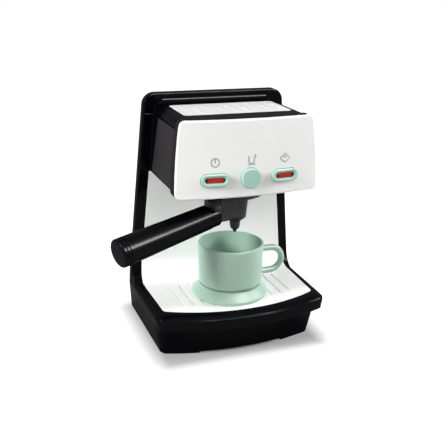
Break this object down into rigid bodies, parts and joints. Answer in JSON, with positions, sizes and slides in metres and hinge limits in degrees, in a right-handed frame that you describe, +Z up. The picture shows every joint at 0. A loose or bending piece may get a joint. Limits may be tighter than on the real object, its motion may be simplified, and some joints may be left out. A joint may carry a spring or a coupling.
{
  "type": "toy espresso coffee maker",
  "caption": "Toy espresso machine on a bowed base with grooved tray, leaning columns, overhanging head with push buttons, bayonet filter holder, cup and saucer.",
  "frame": {"origin": "on the surface it stands on, at the middle of the base's width and depth", "axes": "+Z up, -Y to the front with the buttons, +X to the right seen from the front"},
  "size_m": [0.2269, 0.1623, 0.25],
  "materials": {
    "black_gloss": "gloss",
    "white_gloss": "gloss",
    "charcoal_satin": "satin",
    "mint_plastic": "satin",
    "red_window": "gloss",
    "spring_steel": "satin"
  },
  "bodies": {
    "machine": {"base_shell": "black_gloss", "base_plate": "black_gloss", "splash_plate": "white_gloss", "head_housing": "black_gloss", "top_cover": "black_gloss", "top_panel": "white_gloss", "side_panel_left": "charcoal_satin", "side_panel_right": "charcoal_satin", "rear_cover": "black_gloss", "housing_screws": "spring_steel", "fascia": "white_gloss", "button_carrier": "charcoal_satin", "power_spring": "spring_steel", "steam_spring": "spring_steel", "brew_spring": "spring_steel", "group_ring": "charcoal_satin"},
    "power_key": {"power_button": "mint_plastic", "power_window": "red_window"},
    "steam_key": {"steam_button": "mint_plastic", "steam_window": "red_window"},
    "brew_key": {"brew_button": "mint_plastic"},
    "insert": {"filter_insert": "charcoal_satin"},
    "holder": {"portafilter_body": "charcoal_satin", "spout_nozzle": "charcoal_satin", "handle_grip": "black_gloss", "handle_cap": "black_gloss"},
    "saucer": {"saucer": "mint_plastic"},
    "cup": {"cup": "mint_plastic"}
  },
  "joints": [
    {"name": "power_press", "type": "slide", "parent": "machine", "child": "power_key", "axis": [0.082, 0.9932, -0.0821], "range_m": [0, 0.0025], "stiffness_N_per_m": 300, "springref_m": -0.001, "deforming": ["power_spring"]},
    {"name": "steam_press", "type": "slide", "parent": "machine", "child": "steam_key", "axis": [-0.082, 0.9932, -0.0821], "range_m": [0, 0.0025], "stiffness_N_per_m": 300, "springref_m": -0.001, "deforming": ["steam_spring"]},
    {"name": "brew_press", "type": "slide", "parent": "machine", "child": "brew_key", "axis": [0, 0.9966, -0.0821], "range_m": [0, 0.0035], "stiffness_N_per_m": 300, "springref_m": -0.001, "deforming": ["brew_spring"]},
    {"name": "holder_drop", "type": "slide", "parent": "machine", "child": "insert", "axis": [0, 0, -1], "range_m": [0, 0.012]},
    {"name": "holder_turn", "type": "hinge", "parent": "insert", "child": "holder", "pos_m": [0, -0.028, 0.165], "axis": [0, 0, 1], "range_deg": [0, 60]},
    {"name": "saucer_pull", "type": "slide", "parent": "machine", "child": "saucer", "axis": [1, 0, 0], "range_m": [0, 0.06]},
    {"name": "cup_lift", "type": "slide", "parent": "saucer", "child": "cup", "axis": [0, 0, 1], "range_m": [0, 0.02]}
  ]
}
